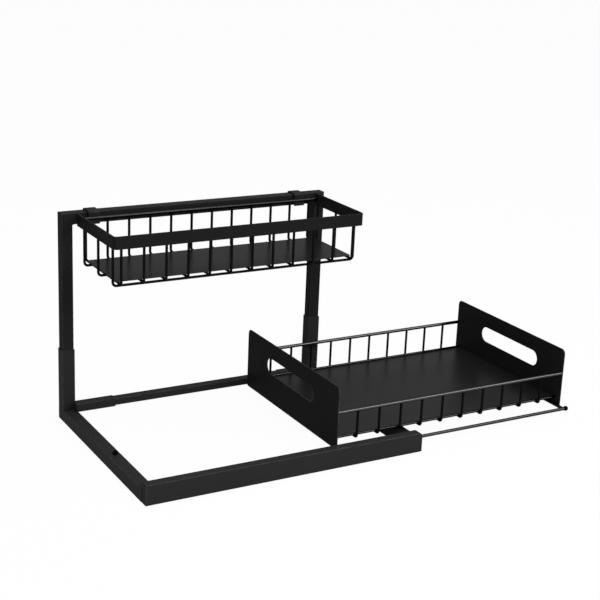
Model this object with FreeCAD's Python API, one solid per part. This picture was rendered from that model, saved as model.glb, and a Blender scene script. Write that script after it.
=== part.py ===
# Under-sink organizer: square-tube frame, hanging wire basket and pull-out wire drawer.
import FreeCAD
import Part
import math
import os

# Frame: cross bars on the floor, sleeves on their rear ends, posts in the sleeves, one top bar
frame_length = 408.0
frame_height = 298.0
post_side = 15.85
post_wall = 1.2
sleeve_wall = 1.0
sleeve_clearance = 0.1
sleeve_height = 87.0
cross_bar_height = 17.45
cross_bar_wall = 1.2
tube_corner = 1.0
plug_flange = 1.2
plug_depth = 12.0
plug_clearance = 0.1

# Front rail: a tall rectangular tube across the front ends of the cross bars
drawer_bay = 277.15
front_rail_depth = 13.75
front_rail_rise = 10.05
front_rail_wall = 1.2
front_rail_inset = 0.7
front_rail_end_inset = 1.9
cap_length = 5.6
cap_spigot = 10.0
cap_round = 5.0
cap_round_limit_share = 0.95

# Rear rail: a folded channel held at both ends in sockets that stand on the cross bars
rear_rail_depth = 12.6
rear_rail_height = 10.5
rear_rail_wall = 1.0
rear_rail_lift = 0.8
socket_wall = 0.7
socket_clearance = 0.1
socket_length = 57.1
socket_seat = 3.0

# Upper basket: flat rim on three sides, bent wires, plate floor, two hooks over the top bar
basket_left_gap = 22.8
basket_right_gap = 13.9
basket_reach = 133.1
basket_clearance = 0.3
rim_height = 17.3
rim_thickness = 2.0
rim_round = 6.0
rim_drop = 0.7
rim_end_space = 3.6
basket_wire = 3.6
basket_bend = 5.0
basket_drop = 64.9
cross_wire_count = 12
cross_wire_space = 2.7
long_wire_count = 3
long_wire_margin = 13.4
rear_wire = 4.0
rear_wire_drop = 7.5
rear_wire_tail = 1.0
rear_standoff = 1.1
basket_floor_front_gap = 2.2
basket_floor_rear_gap = 7.0
basket_floor_end_gap = 2.3
basket_floor_thickness = 1.0
basket_floor_round = 4.0
hook_left_share = 0.375
hook_right_share = 0.52
hook_width = 16.4
hook_thickness = 1.8
hook_bend = 3.0
hook_front_length = 16.4
hook_rear_length = 14.0

# Drawer: two end plates with hand slots, bent wires between them and a plate floor
drawer_length = 379.2
drawer_front_gap = 2.85
drawer_rear_gap = 0.95
drawer_pull = 244.3
drawer_further = 60.0
stop_gap = 0.5
plate_thickness = 1.5
plate_height = 88.35
plate_lift = 0.45
plate_top_round = 7.0
plate_foot_round = 3.0
handle_length = 136.0
handle_height = 23.4
handle_drop = 34.7
handle_offset = 2.65
top_wire = 5.0
top_wire_drop = 36.1
top_wire_inset = 2.3
drawer_wire = 3.5
drawer_bend = 4.0
drawer_wire_lift = 9.9
drawer_wire_count = 10
drawer_wire_margin = 33.4
drawer_floor_thickness = 1.0
drawer_floor_gap = 0.4
drawer_floor_end_gap = 0.5
drawer_floor_round = 5.0

# Runner: two rods that slide in the rails, one rod across under the outer end plate, ball caps
runner_rod = 4.6
runner_lift = 0.85
runner_front_share = 0.663
runner_rear_share = 0.627
runner_clearance = 0.3
ball_diameter = 7.2
ball_reach = 4.4
ball_clearance = 0.05
slider_length = 16.0
slider_clearance = 0.3

# Small gap left at each weld between two wires, and the overrun of every cut
weld_gap = 0.02
overrun = 1.0

# Number of equal turns in each square bend of a wire
bend_steps = 2

# Middle of a quarter arc, as a share of its radius measured from the corner
arc_middle_share = 1.0 - math.sqrt(0.5)

# Sizes that follow from the ones above
sleeve_side = post_side + 2 * (sleeve_wall + sleeve_clearance)
sleeve_inset = sleeve_wall + sleeve_clearance
left_bar_x = (0.0, sleeve_side)
right_bar_x = (frame_length - sleeve_side, frame_length)
frame_end_x = frame_length - front_rail_end_inset
cap_seam_x = frame_end_x - cap_length
cap_corner = min(cap_round, cap_length * cap_round_limit_share)
front_rail_height = cross_bar_height + front_rail_rise
rail_front_y = -drawer_bay - front_rail_depth
rail_back_y = -drawer_bay
bar_front_y = sleeve_inset
bar_rear_y = sleeve_inset + post_side
socket_fit = socket_wall + socket_clearance
socket_depth = rear_rail_depth + 2 * socket_fit
rear_rail_y = (-socket_depth + socket_fit, -socket_fit)
rear_rail_z0 = cross_bar_height + rear_rail_lift
rear_rail_z1 = rear_rail_z0 + rear_rail_height

rim_x = (basket_left_gap, frame_length - basket_right_gap)
rim_front_y = bar_front_y - basket_reach
rim_rear_y = bar_front_y - basket_clearance
rim_top_z = frame_height - rim_drop
rim_mid_z = rim_top_z - rim_height / 2
basket_wire_r = basket_wire / 2
rear_wire_r = rear_wire / 2
wire_front_y = rim_front_y + rim_thickness + basket_wire_r + weld_gap
wire_rear_y = bar_front_y - rear_standoff - basket_wire_r
rear_wire_y = wire_rear_y - basket_wire_r - rear_wire_r - weld_gap
rear_wire_z = frame_height - rear_wire_drop
basket_back_y = rear_wire_y + rear_wire_r + weld_gap
cross_wire_z = rim_top_z - basket_drop
long_wire_z = cross_wire_z - basket_wire - weld_gap
long_wire_inset = rim_thickness + basket_wire_r + weld_gap
long_wire_x = (rim_x[0] + long_wire_inset, rim_x[1] - long_wire_inset - rim_end_space)
cross_wire_margin = basket_bend + cross_wire_space
basket_floor_z = cross_wire_z + basket_wire_r + weld_gap
basket_floor_inset = basket_wire_r + basket_floor_end_gap
basket_floor_y = (wire_front_y + basket_bend + basket_floor_front_gap,
                  wire_rear_y - basket_bend - basket_floor_rear_gap)

runner_r = runner_rod / 2
runner_z = cross_bar_height + runner_lift + runner_r
plate_y = (rail_back_y + drawer_front_gap, -socket_depth - drawer_rear_gap)
runner_y = (rail_back_y - front_rail_depth * runner_front_share,
            socket_depth * runner_rear_share - socket_depth)
cross_rod_x = frame_length + stop_gap + runner_r + drawer_pull
ball_x = cross_rod_x + ball_reach
ball_r = ball_diameter / 2
right_plate_x = cross_rod_x + runner_r + weld_gap
left_plate_x = right_plate_x + plate_thickness - drawer_length
inside_x = (left_plate_x + plate_thickness, right_plate_x)
plate_z0 = cross_bar_height + plate_lift
plate_z1 = plate_z0 + plate_height
top_wire_r = top_wire / 2
top_wire_y = (plate_y[0] + top_wire_inset, plate_y[1] - top_wire_inset)
top_wire_z = plate_z1 - top_wire_drop
drawer_wire_r = drawer_wire / 2
fence_step = top_wire_r + drawer_wire_r + weld_gap
fence_y = (top_wire_y[0] + fence_step, top_wire_y[1] - fence_step)
drawer_wire_z = plate_z0 + drawer_wire_lift
base_step = max(drawer_bend, drawer_wire + weld_gap)
base_wire_y = (fence_y[0] + base_step, fence_y[1] - base_step)
base_wire_z = drawer_wire_z + drawer_wire + weld_gap
drawer_floor_z = drawer_wire_z + drawer_wire_r + weld_gap
slider_end_x = cap_seam_x - cap_spigot - stop_gap - drawer_further
slider_x = (slider_end_x - slider_length, slider_end_x)

shapes = {}


def point(axis, along, u, v):
    """Point at a distance along an axis, with u and v on the other two axes in X, Y, Z order."""
    if axis == "x":
        return FreeCAD.Vector(along, u, v)
    if axis == "y":
        return FreeCAD.Vector(u, along, v)
    return FreeCAD.Vector(u, v, along)


def closed_face(points):
    """Flat face inside a closed outline of straight edges."""
    return Part.Face(Part.makePolygon(points + points[:1]))


def section(axis, along, u, v, radii):
    """Rectangle with its own radius at each corner: low-low, high-low, high-high, low-high."""
    corners = [(u[0], v[0], 1, 1), (u[1], v[0], -1, 1), (u[1], v[1], -1, -1), (u[0], v[1], 1, -1)]
    ends = []
    edges = []
    for index, (cu, cv, su, sv) in enumerate(corners):
        r = radii[index]
        beside_u = point(axis, along, cu + su * r, cv)
        beside_v = point(axis, along, cu, cv + sv * r)
        middle = point(axis, along, cu + su * r * arc_middle_share, cv + sv * r * arc_middle_share)
        first, last = (beside_v, beside_u) if index % 2 == 0 else (beside_u, beside_v)
        ends.append((first, last))
        edges.append(Part.Arc(first, middle, last).toShape() if r else None)
    outline = []
    for index in range(len(corners)):
        if edges[index]:
            outline.append(edges[index])
        start = ends[index][1]
        stop = ends[(index + 1) % len(corners)][0]
        outline.append(Part.LineSegment(start, stop).toShape())
    return Part.Face(Part.Wire(outline))


def prism(axis, span, u, v, radius=0.0, radii=None):
    """Bar along an axis with a rectangular section and rounded corners."""
    face = section(axis, span[0], u, v, radii or (radius,) * 4)
    return face.extrude(point(axis, span[1] - span[0], 0.0, 0.0))


def shrink(span, amount):
    """Span drawn in by the same amount at both ends."""
    return (span[0] + amount, span[1] - amount)


def tube(axis, span, u, v, wall):
    """Rectangular tube along an axis, open at both ends."""
    outer = prism(axis, span, u, v, tube_corner)
    bore = prism(axis, shrink(span, -overrun), shrink(u, wall), shrink(v, wall))
    return outer.cut(bore)


def rod(axis, span, u, v, radius):
    """Round rod along an axis."""
    start = point(axis, span[0], u, v)
    return Part.makeCylinder(radius, span[1] - span[0], start, point(axis, 1.0, 0.0, 0.0))


def bent_wire(points, bend, radius):
    """Round wire along straight runs, each square corner bent in a few equal mitred steps."""
    step = math.pi / 2 / bend_steps
    path = [points[0]]
    for index in range(1, len(points) - 1):
        corner = points[index]
        into = (corner - points[index - 1]).normalize()
        away = (points[index + 1] - corner).normalize()
        centre = corner + (away - into) * bend
        reach = bend / math.cos(step / 2)
        for turn in range(bend_steps):
            angle = (turn + 1 / 2) * step
            path.append(centre + into * (reach * math.sin(angle)) - away * (reach * math.cos(angle)))
    path.append(points[-1])
    profile = Part.Wire(Part.Circle(points[0], points[1] - points[0], radius).toShape())
    return Part.makePolygon(path).makePipeShell([profile], True, False, 1)


def spread(span, count, margin):
    """Places of a row of equal parts between two ends, a margin in from each end."""
    first, last = shrink(span, margin)
    return [first + (last - first) * index / (count - 1) for index in range(count)]


def plugged(axis, face_at, way, u, v, wall):
    """End plug of a rectangular tube: a flange flush with the tube and a spigot inside it."""
    flange_end = face_at + way * plug_flange
    spigot_end = flange_end + way * plug_depth
    flange = prism(axis, tuple(sorted((face_at, flange_end))), u, v, tube_corner)
    fit = wall + plug_clearance
    spigot = prism(axis, tuple(sorted((flange_end, spigot_end))), shrink(u, fit), shrink(v, fit))
    return flange.fuse(spigot).removeSplitter()


def mitre(corner_x, way, keep_bar):
    """Wedge that cuts a square corner of the top frame along its diagonal."""
    reach = post_side + overrun
    out = point("y", bar_front_y - overrun, corner_x - way * overrun, frame_height + overrun)
    inside = point("y", bar_front_y - overrun, corner_x + way * reach, frame_height - reach)
    if keep_bar:
        third = point("y", bar_front_y - overrun, corner_x - way * overrun, frame_height - reach)
    else:
        third = point("y", bar_front_y - overrun, corner_x + way * reach, frame_height + overrun)
    return closed_face([out, inside, third]).extrude(point("y", post_side + 2 * overrun, 0.0, 0.0))


def build_frame():
    """Cross bars, sleeves, posts, top bar and both rails."""
    bar_z = (0.0, cross_bar_height)
    sleeve_z = (cross_bar_height, cross_bar_height + sleeve_height)
    post_y = (bar_front_y, bar_rear_y)
    bar_y = (rail_back_y, sleeve_side - plug_flange)
    top_x = (sleeve_inset, frame_length - sleeve_inset)
    for side, bar_x, way in (("left", left_bar_x, 1), ("right", right_bar_x, -1)):
        shapes[side + "_cross_bar"] = tube("y", bar_y, bar_x, bar_z, cross_bar_wall)
        shapes[side + "_cross_bar_plug"] = plugged("y", sleeve_side, -1, bar_x, bar_z, cross_bar_wall)
        shapes[side + "_post_sleeve"] = tube("z", sleeve_z, bar_x, (0.0, sleeve_side), sleeve_wall)
        post = tube("z", (cross_bar_height, frame_height), shrink(bar_x, sleeve_inset), post_y, post_wall)
        corner_x = top_x[0] if way > 0 else top_x[1]
        shapes[side + "_upper_post"] = post.cut(mitre(corner_x, way, False))
    bar = tube("x", top_x, post_y, (frame_height - post_side, frame_height), post_wall)
    bar = bar.cut(mitre(top_x[0], 1, True))
    shapes["top_bar"] = bar.cut(mitre(top_x[1], -1, True))


def build_front_rail():
    """Tall front tube with a plug at one end and a rod guide cap at the other."""
    rail_y = (rail_front_y, rail_back_y)
    rail_z = (0.0, front_rail_height)
    tube_x = (front_rail_inset + plug_flange, cap_seam_x)
    shapes["front_rail"] = tube("x", tube_x, rail_y, rail_z, front_rail_wall)
    shapes["front_rail_plug"] = plugged("x", front_rail_inset, 1, rail_y, rail_z, front_rail_wall)
    body = prism("x", (cap_seam_x, frame_end_x), rail_y, rail_z, tube_corner)
    rounded_end = prism("y", rail_y, (cap_seam_x, frame_end_x), rail_z, radii=(0.0, 0.0, cap_corner, 0.0))
    fit = front_rail_wall + plug_clearance
    spigot = prism("x", (cap_seam_x - cap_spigot, cap_seam_x), shrink(rail_y, fit), shrink(rail_z, fit))
    cap = body.common(rounded_end).fuse(spigot).removeSplitter()
    bore_x = (cap_seam_x - cap_spigot - overrun, frame_end_x + overrun)
    bore = rod("x", bore_x, runner_y[0], runner_z, runner_r + runner_clearance)
    shapes["front_rail_guide_cap"] = cap.cut(bore)


def build_rear_rail():
    """Folded channel with an inward lip, and the sockets that hold its ends."""
    y0, y1 = rear_rail_y
    inner_y0 = y0 + rear_rail_wall
    inner_y1 = y1 - rear_rail_wall
    lip_y = runner_y[1] - runner_r - runner_clearance
    inner_z0 = rear_rail_z0 + rear_rail_wall
    inner_z1 = rear_rail_z1 - rear_rail_wall
    fold = [(y0, rear_rail_z0), (lip_y, rear_rail_z0), (lip_y, inner_z0), (inner_y0, inner_z0),
            (inner_y0, inner_z1), (inner_y1, inner_z1), (inner_y1, rear_rail_z0), (y1, rear_rail_z0),
            (y1, rear_rail_z1), (y0, rear_rail_z1)]
    rail_x = (left_bar_x[1], right_bar_x[0])
    face = closed_face([point("x", rail_x[0], y, z) for y, z in fold])
    shapes["rear_rail"] = face.extrude(point("x", rail_x[1] - rail_x[0], 0.0, 0.0))
    outer_y = (-socket_depth, 0.0)
    socket_z1 = rear_rail_z1 + socket_fit
    radii = (0.0, 0.0, socket_wall, socket_wall)
    left_x = left_bar_x[1] - socket_seat
    right_x = right_bar_x[0] + socket_seat
    spans = (("left", (left_x, left_x + socket_length)), ("right", (right_x - socket_length, right_x)))
    for side, span in spans:
        outer = prism("x", span, outer_y, (cross_bar_height, socket_z1), radii=radii)
        hollow_z = (cross_bar_height - overrun, socket_z1 - socket_wall)
        hollow = prism("x", shrink(span, -overrun), shrink(outer_y, socket_wall), hollow_z)
        shapes[side + "_rear_rail_socket"] = outer.cut(hollow)


def rim_outline():
    """Outline of the flat rim seen from above, open towards the top bar."""
    t = rim_thickness
    x0, x1 = rim_x
    outer = section("z", rim_top_z - rim_height, rim_x, (rim_front_y, rim_rear_y),
                    (rim_round, rim_round, 0.0, 0.0))
    inner_round = rim_round - t
    inner = section("z", rim_top_z - rim_height, (x0 + t, x1 - t), (rim_front_y + t, rim_rear_y + overrun),
                    (inner_round, inner_round, 0.0, 0.0))
    return outer.cut(inner)


def build_hook(side, middle_x):
    """Strap bent over the top bar, welded to the rear wire."""
    span = (middle_x - hook_width / 2, middle_x + hook_width / 2)
    seat_z = frame_height + basket_clearance
    top_z = seat_z + hook_thickness
    strap_y = (basket_back_y, bar_rear_y + basket_clearance + hook_thickness)
    low_z = frame_height - max(hook_front_length, hook_rear_length)
    radii = (0.0, 0.0, hook_bend, hook_bend)
    strap = prism("x", span, strap_y, (low_z, top_z), radii=radii)
    inner_bend = hook_bend - hook_thickness
    inner_radii = (0.0, 0.0, inner_bend, inner_bend)
    wide = shrink(span, -overrun)
    inner_y = shrink(strap_y, hook_thickness)
    strap = strap.cut(prism("x", wide, inner_y, (low_z - overrun, seat_z), radii=inner_radii))
    middle_y = (strap_y[0] + strap_y[1]) / 2
    front = (strap_y[0] - overrun, middle_y)
    rear = (middle_y, strap_y[1] + overrun)
    for length, half in ((hook_front_length, front), (hook_rear_length, rear)):
        end_z = frame_height - length
        strap = strap.cut(prism("x", wide, half, (low_z - 2 * overrun, end_z))) if end_z > low_z else strap
    shapes[side + "_hook"] = strap


def build_basket():
    """Hanging basket: rim, wires both ways, plate floor and hooks."""
    shapes["upper_basket_rim"] = rim_outline().extrude(point("z", rim_height, 0.0, 0.0))
    inside = shrink(rim_x, rim_thickness + weld_gap)
    shapes["upper_basket_rear_wire"] = rod("x", inside, rear_wire_y, rear_wire_z, rear_wire_r)
    rear_top = rear_wire_z + rear_wire_tail
    places = spread(long_wire_x, cross_wire_count, cross_wire_margin)
    for index, x in enumerate(places):
        path = [(wire_front_y, rim_mid_z), (wire_front_y, cross_wire_z), (wire_rear_y, cross_wire_z),
                (wire_rear_y, rear_top)]
        wire = bent_wire([point("x", x, y, z) for y, z in path], basket_bend, basket_wire_r)
        shapes["upper_basket_cross_wire_%02d" % (index + 1)] = wire
    left_x, right_x = long_wire_x
    for index, y in enumerate(spread((rim_front_y, basket_back_y), long_wire_count, long_wire_margin)):
        path = [(left_x, rim_mid_z), (left_x, long_wire_z), (right_x, long_wire_z), (right_x, rim_mid_z)]
        wire = bent_wire([point("y", y, x, z) for x, z in path], basket_bend, basket_wire_r)
        shapes["upper_basket_long_wire_%d" % (index + 1)] = wire
    floor_z = (basket_floor_z, basket_floor_z + basket_floor_thickness)
    floor_x = shrink(long_wire_x, basket_floor_inset)
    shapes["upper_basket_floor"] = prism("z", floor_z, floor_x, basket_floor_y, basket_floor_round)
    wire_step = places[1] - places[0]
    build_hook("left", places[0] + hook_left_share * wire_step)
    build_hook("right", places[-1] - hook_right_share * wire_step)


def end_plate(x0, turned):
    """Drawer end plate with a slot for the hand off its middle; the far plate is turned round."""
    span = (x0, x0 + plate_thickness)
    radii = (plate_foot_round, plate_foot_round, plate_top_round, plate_top_round)
    plate = prism("x", span, plate_y, (plate_z0, plate_z1), radii=radii)
    slot_r = handle_height / 2
    middle_y = (plate_y[0] + plate_y[1]) / 2 + (-handle_offset if turned else handle_offset)
    ends_y = (middle_y - handle_length / 2 + slot_r, middle_y + handle_length / 2 - slot_r)
    slot_z = plate_z1 - handle_drop
    through = shrink(span, -overrun)
    slot = prism("x", through, ends_y, (slot_z - slot_r, slot_z + slot_r))
    for y in ends_y:
        slot = slot.fuse(rod("x", through, y, slot_z, slot_r))
    return plate.cut(slot.removeSplitter())


def build_drawer():
    """Pull-out tray: end plates, fence wires, bent floor wires and plate floor."""
    shapes["drawer_left_plate"] = end_plate(left_plate_x, False)
    shapes["drawer_right_plate"] = end_plate(right_plate_x, True)
    wire_x = shrink(inside_x, weld_gap)
    for side, index in (("front", 0), ("rear", 1)):
        top = rod("x", wire_x, top_wire_y[index], top_wire_z, top_wire_r)
        base = rod("x", wire_x, base_wire_y[index], base_wire_z, drawer_wire_r)
        shapes["drawer_%s_top_wire" % side] = top
        shapes["drawer_%s_base_wire" % side] = base
    for index, x in enumerate(spread(inside_x, drawer_wire_count, drawer_wire_margin)):
        path = [(fence_y[0], top_wire_z), (fence_y[0], drawer_wire_z), (fence_y[1], drawer_wire_z),
                (fence_y[1], top_wire_z)]
        wire = bent_wire([point("x", x, y, z) for y, z in path], drawer_bend, drawer_wire_r)
        shapes["drawer_cross_wire_%02d" % (index + 1)] = wire
    floor_y = shrink(base_wire_y, drawer_wire_r + drawer_floor_gap)
    floor_z = (drawer_floor_z, drawer_floor_z + drawer_floor_thickness)
    floor_x = shrink(inside_x, drawer_floor_end_gap)
    shapes["drawer_floor"] = prism("z", floor_z, floor_x, floor_y, drawer_floor_round)


def build_runner():
    """Sliding rods with their inner guide blocks, the cross rod and the ball caps."""
    cross = rod("y", runner_y, cross_rod_x, runner_z, runner_r)
    for side, y in (("front", runner_y[0]), ("rear", runner_y[1])):
        shapes[side + "_runner_rod"] = rod("x", (slider_x[0], ball_x), y, runner_z, runner_r)
        centre = point("x", ball_x, y, runner_z)
        socket = rod("x", (ball_x - ball_r - overrun, ball_x), y, runner_z, runner_r + ball_clearance)
        shapes[side + "_ball_cap"] = Part.makeSphere(ball_r, centre).cut(socket)
        cross = cross.cut(rod("x", (slider_x[0], ball_x), y, runner_z, runner_r + weld_gap))
        cross = cross.cut(Part.makeSphere(ball_r + weld_gap, centre))
    shapes["drawer_cross_rod"] = cross
    bore_x = shrink(slider_x, -overrun)
    fit = front_rail_wall + slider_clearance
    block_y = shrink((rail_front_y, rail_back_y), fit)
    block = prism("x", slider_x, block_y, shrink((0.0, front_rail_height), fit))
    shapes["front_runner_block"] = block.cut(rod("x", bore_x, runner_y[0], runner_z, runner_r + weld_gap))
    fit = rear_rail_wall + slider_clearance
    block = prism("x", slider_x, shrink(rear_rail_y, fit), shrink((rear_rail_z0, rear_rail_z1), fit))
    shapes["rear_runner_block"] = block.cut(rod("x", bore_x, runner_y[1], runner_z, runner_r + weld_gap))


def main():
    """Builds every piece and writes it with the origin under the middle of the whole."""
    os.makedirs("parts", exist_ok=True)
    build_frame()
    build_front_rail()
    build_rear_rail()
    build_basket()
    build_drawer()
    build_runner()
    right_end = max(ball_x + ball_r, right_plate_x + plate_thickness)
    rear_end = max(sleeve_side, bar_rear_y + basket_clearance + hook_thickness)
    home = FreeCAD.Vector(-right_end / 2, -(rail_front_y + rear_end) / 2, 0.0)
    for name, shape in shapes.items():
        shape.translate(home)
        shape.exportStep("parts/%s.step" % name)


main()
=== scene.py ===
"""Under-sink organizer in black powder-coated steel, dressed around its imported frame."""
import logging
import math
from dataclasses import dataclass
from enum import Enum
from typing import Iterable, Optional, Sequence

import bmesh
import bpy
from mathutils import Matrix, Vector


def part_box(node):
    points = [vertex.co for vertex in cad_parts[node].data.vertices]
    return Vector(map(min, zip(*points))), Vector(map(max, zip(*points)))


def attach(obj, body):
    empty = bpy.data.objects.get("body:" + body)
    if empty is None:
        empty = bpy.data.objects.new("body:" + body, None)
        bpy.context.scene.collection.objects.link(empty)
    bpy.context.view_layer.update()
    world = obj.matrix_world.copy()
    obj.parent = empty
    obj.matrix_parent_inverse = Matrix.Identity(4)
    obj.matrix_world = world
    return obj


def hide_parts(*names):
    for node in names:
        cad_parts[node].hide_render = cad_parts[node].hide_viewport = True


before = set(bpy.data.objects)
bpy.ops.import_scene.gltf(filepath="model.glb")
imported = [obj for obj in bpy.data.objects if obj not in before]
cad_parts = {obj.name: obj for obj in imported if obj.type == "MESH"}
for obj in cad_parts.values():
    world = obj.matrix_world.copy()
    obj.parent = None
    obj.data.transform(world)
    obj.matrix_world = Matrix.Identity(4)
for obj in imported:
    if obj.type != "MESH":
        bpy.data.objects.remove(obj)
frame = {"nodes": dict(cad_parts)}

log = logging.getLogger("organizer")

MILLIMETRE = 0.001
CORNER_STEPS = 6
EDGE_STEPS = 3
ROUND_STEPS = 24
WIRE_STEPS = 16
FOLD_STEPS = 8
BEAD_STEPS = 2
LEAST_RADIUS = 0.02 * MILLIMETRE
MERGE_DISTANCE = 0.0005 * MILLIMETRE
SHARP_ANGLE = math.radians(42.0)
QUARTER = math.pi / 2
EDGE_MARK = "rounded_edge"
CLOUD_DETAIL, PATCH_DETAIL, GRAIN_DETAIL = 4.0, 3.0, 2.0
RUB_FROM, RUB_TO, LEAST_RUB = 0.35, 0.65, 0.3
MIX_SHARE, MIX_FIRST, MIX_SECOND, MIX_RESULT = 0, 6, 7, 2
WHITE = (1.0, 1.0, 1.0, 1.0)
SIDES = ("left", "right")
ENDS = ("front", "rear")

Point2 = tuple[float, float]
Triple = tuple[float, float, float]
Span = tuple[float, float]
Tree = bpy.types.NodeTree
Socket = bpy.types.NodeSocket
Piece = bpy.types.Object


class Body(Enum):
    """Bodies of the frame that pieces ride on."""

    FRAME = "frame"
    BASKET = "basket"
    DRAWER = "drawer"


class Slot(Enum):
    """Material slots of the record."""

    POWDER_COAT = "black_powder_coat"
    PLASTIC = "black_plastic"
    STEEL = "runner_steel"


class Axis(Enum):
    """Axis that a shape runs along; u and v are the other two in X, Y, Z order."""

    X = 0
    Y = 1
    Z = 2

    def point(self, along: float, u: float, v: float) -> Vector:
        """Point at a distance along this axis.

        Args:
            along: Distance along the axis.
            u: Place on the first of the other two axes.
            v: Place on the second of the other two axes.

        Returns:
            The point.
        """
        values = [u, v]
        values.insert(self.value, along)
        return Vector(values)

    def spans(self, node: str) -> tuple[Span, Span, Span]:
        """Spans of a node's box along this axis and across it.

        Args:
            node: Name of the node.

        Returns:
            The span along the axis, then the spans on u and v.
        """
        low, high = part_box(node)
        found = [(low[i], high[i]) for i in range(3)]
        return (found.pop(self.value), *found)


def middle(span: Span) -> float:
    """Middle of a span."""
    return (span[0] + span[1]) / 2


def half(span: Span) -> float:
    """Half the length of a span."""
    return (span[1] - span[0]) / 2


def shrunk(span: Span, amount: float) -> Span:
    """Span drawn in by an amount at both ends."""
    return span[0] + amount, span[1] - amount


def quarter_turns(steps: int) -> list[float]:
    """Angles from zero to a quarter turn."""
    return [QUARTER * step / steps for step in range(steps + 1)]


def numbered(stem: str, count: int, digits: int) -> list[str]:
    """Names of a numbered row of nodes."""
    return ["%s_%0*d" % (stem, digits, index + 1) for index in range(count)]


def grey(level: float, blue: float) -> Triple:
    """Grey with its own level of blue."""
    return level, level, blue


def feed(tree: Tree, target: Socket, value: object) -> None:
    """Links an output to an input, or gives the input a plain value.

    Args:
        tree: Tree that the input is in.
        target: The input.
        value: The output's socket, or the plain value.
    """
    if isinstance(value, Socket):
        tree.links.new(value, target)
    else:
        target.default_value = value


def add_node(tree: Tree, kind: str, **inputs: object) -> bpy.types.Node:
    """Adds a node and feeds its inputs.

    Args:
        tree: Tree that the node goes into.
        kind: Type of the node.
        **inputs: An output socket or a plain value for each input, with _ for a space in its name.

    Returns:
        The new node.
    """
    made = tree.nodes.new(kind)
    for label, value in inputs.items():
        feed(tree, made.inputs[label.replace("_", " ")], value)
    return made


def math_node(tree: Tree, operation: str, first: object, second: object) -> Socket:
    """Adds a node that works out a value from two others.

    Args:
        tree: Tree that the node goes into.
        operation: What it does with the two.
        first: First value, or the socket that gives it.
        second: Second value, or the socket that gives it.

    Returns:
        Socket of the result.
    """
    made = tree.nodes.new("ShaderNodeMath")
    made.operation = operation
    feed(tree, made.inputs[0], first)
    feed(tree, made.inputs[1], second)
    return made.outputs[0]


def mixed(tree: Tree, share: Socket, first: object, second: object) -> Socket:
    """Adds a node that mixes two colours.

    Args:
        tree: Tree that the node goes into.
        share: Socket that gives the share of the second colour.
        first: First colour, or the socket that gives it.
        second: Second colour.

    Returns:
        Socket of the mixed colour.
    """
    made = tree.nodes.new("ShaderNodeMix")
    made.data_type = "RGBA"
    for index, value in ((MIX_SHARE, share), (MIX_FIRST, first), (MIX_SECOND, second)):
        feed(tree, made.inputs[index], value)
    return made.outputs[MIX_RESULT]


def noise(tree: Tree, place: Socket, size: float, detail: float) -> Socket:
    """Adds a noise texture of a size and detail over the places on a surface, and gives its socket."""
    return add_node(tree, "ShaderNodeTexNoise", Vector=place, Scale=1 / size, Detail=detail).outputs["Fac"]


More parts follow.
